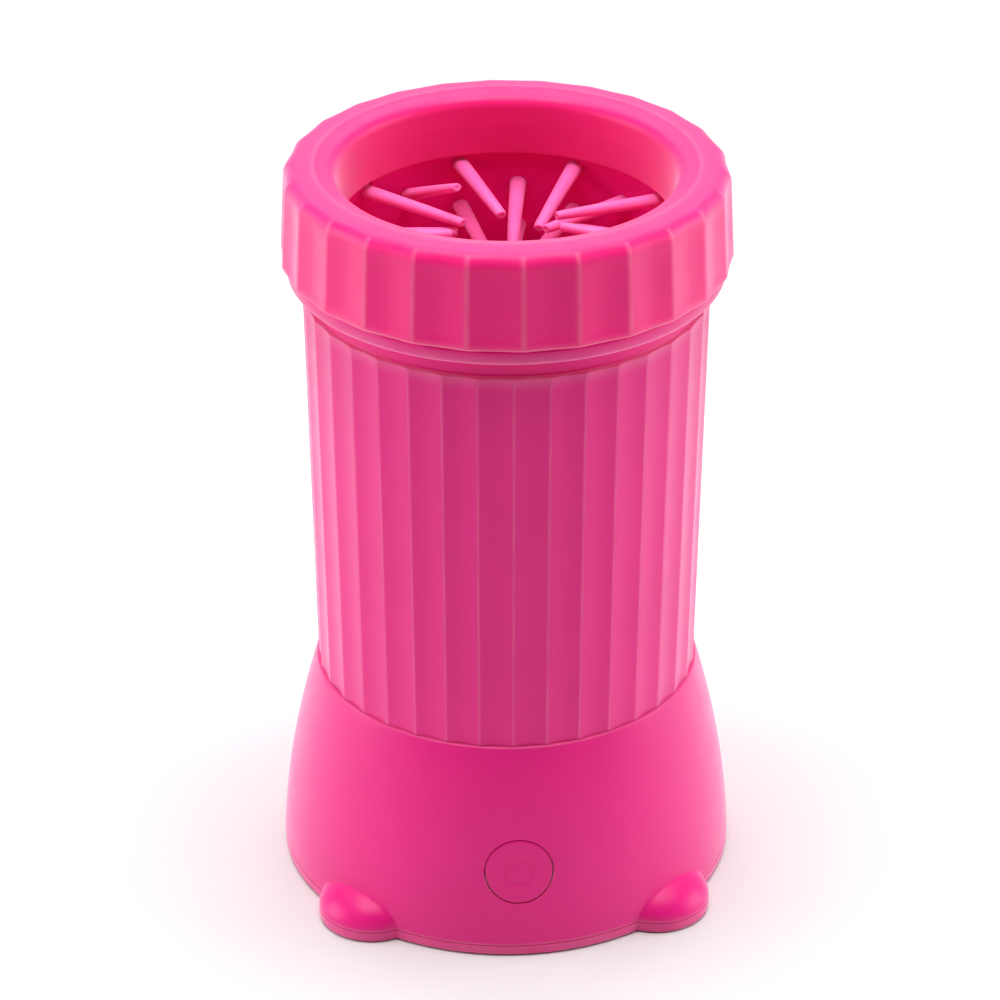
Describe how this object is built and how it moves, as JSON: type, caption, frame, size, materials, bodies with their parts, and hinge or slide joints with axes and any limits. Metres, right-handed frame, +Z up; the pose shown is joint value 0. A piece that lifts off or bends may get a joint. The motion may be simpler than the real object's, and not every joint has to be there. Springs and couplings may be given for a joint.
{
  "type": "paw washer cup",
  "caption": "Fluted cup with a splash collar and a motor driven silicone brush, on a bell shaped base with a power button, for washing a pet's paws.",
  "frame": {"origin": "bottom centre of the anti slip ring, on the axis of the cup", "axes": "+Z up out of the throat, -Y towards the power button, +Y towards the charge port"},
  "size_m": [0.0998, 0.0999, 0.165],
  "materials": {
    "cup_plastic": "satin",
    "collar_silicone": "satin",
    "brush_silicone": "satin",
    "drum_plastic": "satin",
    "nylon": "matt",
    "steel": "brushed",
    "bronze": "satin",
    "seal_rubber": "matt",
    "clear_silicone": "satin",
    "board": "satin",
    "black_plastic": "matt",
    "led": "gloss",
    "cell_sleeve": "gloss",
    "red_wire": "satin",
    "black_wire": "satin"
  },
  "bodies": {
    "base": {"base_housing": "cup_plastic", "bottom_cover": "cup_plastic", "anti_slip_ring": "seal_rubber", "base_screws": "steel", "base_seal": "seal_rubber", "gearbox_plate": "nylon", "gearbox_screws": "steel", "lower_bush": "bronze", "upper_bush": "bronze", "gear_pin": "steel", "motor_can": "steel", "motor_screws": "steel", "tact_switch": "black_plastic", "status_led": "led", "circuit_board": "board", "control_chips": "black_plastic", "battery_cell": "cell_sleeve", "charge_port": "steel", "port_board": "board", "motor_leads": "red_wire", "battery_leads": "red_wire", "port_leads": "black_wire"},
    "output": {"output_shaft": "steel", "output_gear": "nylon", "drive_dog": "nylon"},
    "compound": {"compound_gear": "nylon"},
    "pinion": {"motor_pinion": "bronze", "motor_shaft": "steel"},
    "button": {"power_button": "cup_plastic", "switch_plunger": "black_plastic"},
    "plug": {"port_plug": "collar_silicone"},
    "cup": {"cup_body": "cup_plastic", "cup_bush": "bronze", "shaft_seal": "seal_rubber", "collar_gasket": "clear_silicone"},
    "brush": {"brush_drum": "drum_plastic", "bristle_liner": "brush_silicone", "drive_hub": "nylon", "hub_screw": "steel", "brush_spindle": "steel", "driven_dog": "nylon"},
    "collar": {"splash_collar": "collar_silicone"}
  },
  "joints": [
    {"name": "cup_lift", "type": "slide", "parent": "base", "child": "cup", "axis": [0, 0, 1], "range_m": [0, 0.06]},
    {"name": "collar_lift", "type": "slide", "parent": "cup", "child": "collar", "axis": [0, 0, 1], "range_m": [0, 0.03]},
    {"name": "brush_spin", "type": "hinge", "parent": "cup", "child": "brush", "pos_m": [0, 0, 0.06], "axis": [0, 0, 1], "continuous": true},
    {"name": "output_spin", "type": "hinge", "parent": "base", "child": "output", "pos_m": [0, 0, 0.036], "axis": [0, 0, 1], "continuous": true},
    {"name": "compound_spin", "type": "hinge", "parent": "base", "child": "compound", "pos_m": [-0.01739, 0.00466, 0.034], "axis": [0, 0, 1], "continuous": true},
    {"name": "pinion_spin", "type": "hinge", "parent": "base", "child": "pinion", "pos_m": [-0.01887, -0.01228, 0.032], "axis": [0, 0, 1], "continuous": true},
    {"name": "button_press", "type": "slide", "parent": "base", "child": "button", "axis": [0, 1, 0], "range_m": [0, 0.0007], "stiffness_N_per_m": 1500},
    {"name": "plug_open", "type": "hinge", "parent": "base", "child": "plug", "pos_m": [-0.0102, 0.0481, 0.0118], "axis": [0, 0, 1], "range_deg": [0, 100]}
  ],
  "couplings": [
    {"joint": "output_spin", "follows": "brush_spin", "ratio": 1},
    {"joint": "compound_spin", "follows": "brush_spin", "ratio": -5},
    {"joint": "pinion_spin", "follows": "brush_spin", "ratio": 23.333}
  ]
}
